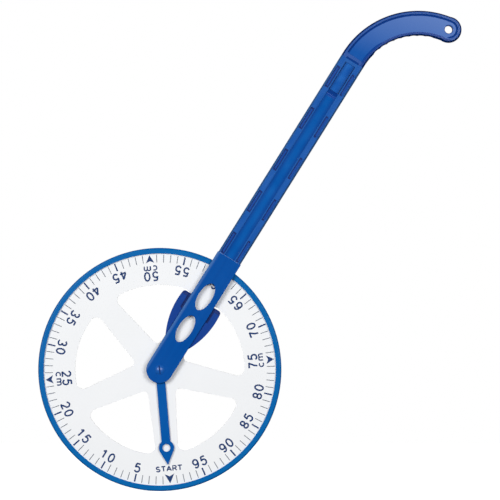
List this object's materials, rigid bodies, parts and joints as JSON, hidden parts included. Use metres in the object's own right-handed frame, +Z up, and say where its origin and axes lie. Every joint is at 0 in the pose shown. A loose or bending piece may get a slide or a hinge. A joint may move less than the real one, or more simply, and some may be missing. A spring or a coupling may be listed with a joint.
{
  "type": "trundle wheel",
  "caption": "Hand-held measuring wheel with a printed ring scale, spokes, a swinging pointer and a curved grip on a leaning arm.",
  "frame": {"origin": "the point where the tyre meets the ground, straight under the axle, in the wheel's middle plane", "axes": "+Z up from the ground, +X towards the side the arm leans to, -Y towards the printed front face"},
  "size_m": [0.554, 0.0294, 0.6287],
  "materials": {
    "disc_white": "moulded white plastic, lightly polished",
    "tyre_blue": "smooth soft rubber",
    "bush_ivory": "plain moulded bearing plastic",
    "pointer_blue": "smooth moulded plastic",
    "washer_white": "plain moulded plastic",
    "axle_blue": "smooth moulded plastic",
    "fastener_steel": "plain zinc-plated steel",
    "leg_blue": "satin moulded plastic",
    "clicker_blue": "satin moulded plastic",
    "shaft_blue": "satin moulded plastic",
    "latch_blue": "satin moulded plastic",
    "plug_blue": "plain moulded plastic",
    "grip_blue": "finely grained moulded plastic"
  },
  "bodies": {
    "handle": {"front_leg": "leg_blue", "rear_leg": "leg_blue", "axle_pin": "axle_blue", "axle_push_nut": "fastener_steel", "pointer_washer": "washer_white", "rear_spacer": "washer_white", "leg_screws": "fastener_steel", "shaft_front_shell": "shaft_blue", "shaft_rear_shell": "shaft_blue", "joint_plug": "plug_blue", "grip_front_shell": "grip_blue", "grip_rear_shell": "grip_blue", "grip_screws": "fastener_steel"},
    "wheel": {"wheel_disc": "disc_white", "tyre": "tyre_blue", "hub_bush": "bush_ivory", "click_stud": "disc_white"},
    "pointer": {"pointer": "pointer_blue"},
    "clicker": {"clicker": "clicker_blue"},
    "latch": {"latch_tongue": "latch_blue"}
  },
  "joints": [
    {"name": "wheel_spin", "type": "hinge", "parent": "handle", "child": "wheel", "pos_m": [0, 0, 0.15915], "axis": [0, 1, 0], "continuous": true},
    {"name": "pointer_swing", "type": "hinge", "parent": "handle", "child": "pointer", "pos_m": [0, 0, 0.15915], "axis": [0, 1, 0], "range_deg": [-145, 190]},
    {"name": "clicker_flick", "type": "hinge", "parent": "handle", "child": "clicker", "pos_m": [0.0212, -0.0069, 0.19308], "axis": [0.848, 0, -0.5299], "range_deg": [0, 1.5], "stiffness_Nm_per_rad": 1.5},
    {"name": "latch_lift", "type": "hinge", "parent": "handle", "child": "latch", "pos_m": [0.24843, -0.0091, 0.55672], "axis": [-0.848, 0, 0.5299], "range_deg": [0, 4.5], "stiffness_Nm_per_rad": 3}
  ]
}
